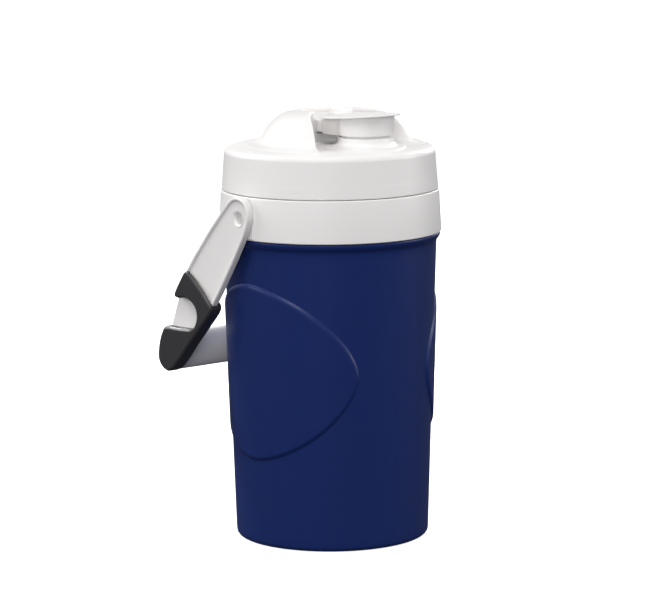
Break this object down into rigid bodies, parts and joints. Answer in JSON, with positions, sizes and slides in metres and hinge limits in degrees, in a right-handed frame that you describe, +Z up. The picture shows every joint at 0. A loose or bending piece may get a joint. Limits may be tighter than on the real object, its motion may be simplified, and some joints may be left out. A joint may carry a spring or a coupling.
{
  "type": "insulated water jug",
  "caption": "Insulated round water jug with a tapered blue body, a white screw lid with a flip-cap pouring spout, a swinging carry handle and dark fence-hook clips.",
  "frame": {"origin": "centre of the standing face, on the jug's axis", "axes": "+Z up along the jug's axis; X along the handle's pivot line; -Y towards the pouring spout; the handle hangs on the +Y side"},
  "size_m": [0.1578, 0.1516, 0.2733],
  "materials": {
    "blue_plastic": "deep blue moulded plastic with a soft sheen",
    "white_plastic": "white moulded plastic, satin gloss",
    "dark_grey_plastic": "dark grey moulded plastic, fine texture",
    "insulation_foam": "rigid cream insulation foam",
    "seal_silicone": "translucent white soft seal"
  },
  "bodies": {
    "jug": {"outer_body": "blue_plastic", "base_plug": "blue_plastic", "body_foam": "insulation_foam", "inner_liner": "white_plastic", "neck_collar": "white_plastic", "pivot_pin_left": "white_plastic", "pivot_pin_right": "white_plastic"},
    "lid_seal": {"lid_gasket": "seal_silicone"},
    "lid": {"lid_shell": "white_plastic", "lid_liner": "white_plastic", "lid_foam": "insulation_foam", "cap_hinge_pin": "white_plastic"},
    "cap": {"spout_cap": "white_plastic", "cap_seal": "seal_silicone", "vent_plug": "seal_silicone"},
    "handle": {"carry_handle": "white_plastic", "hook_clip_left": "dark_grey_plastic", "hook_clip_right": "dark_grey_plastic"}
  },
  "joints": [
    {"name": "handle_swing", "type": "hinge", "parent": "jug", "child": "handle", "pos_m": [0, 0, 0.2087], "axis": [1, 0, 0], "range_deg": [0, 280]},
    {"name": "lid_lift", "type": "slide", "parent": "jug", "child": "lid_seal", "axis": [0, 0, 1], "range_m": [0, 0.0101]},
    {"name": "lid_turn", "type": "hinge", "parent": "lid_seal", "child": "lid", "pos_m": [0, 0, 0.25], "axis": [0, 0, 1], "range_deg": [0, 450]},
    {"name": "cap_flip", "type": "hinge", "parent": "lid", "child": "cap", "pos_m": [0, 0.004, 0.2628], "axis": [-1, 0, 0], "range_deg": [0, 105]}
  ],
  "couplings": [
    {"joint": "lid_lift", "follows": "lid_turn", "m_per_rad": 0.0012732}
  ]
}
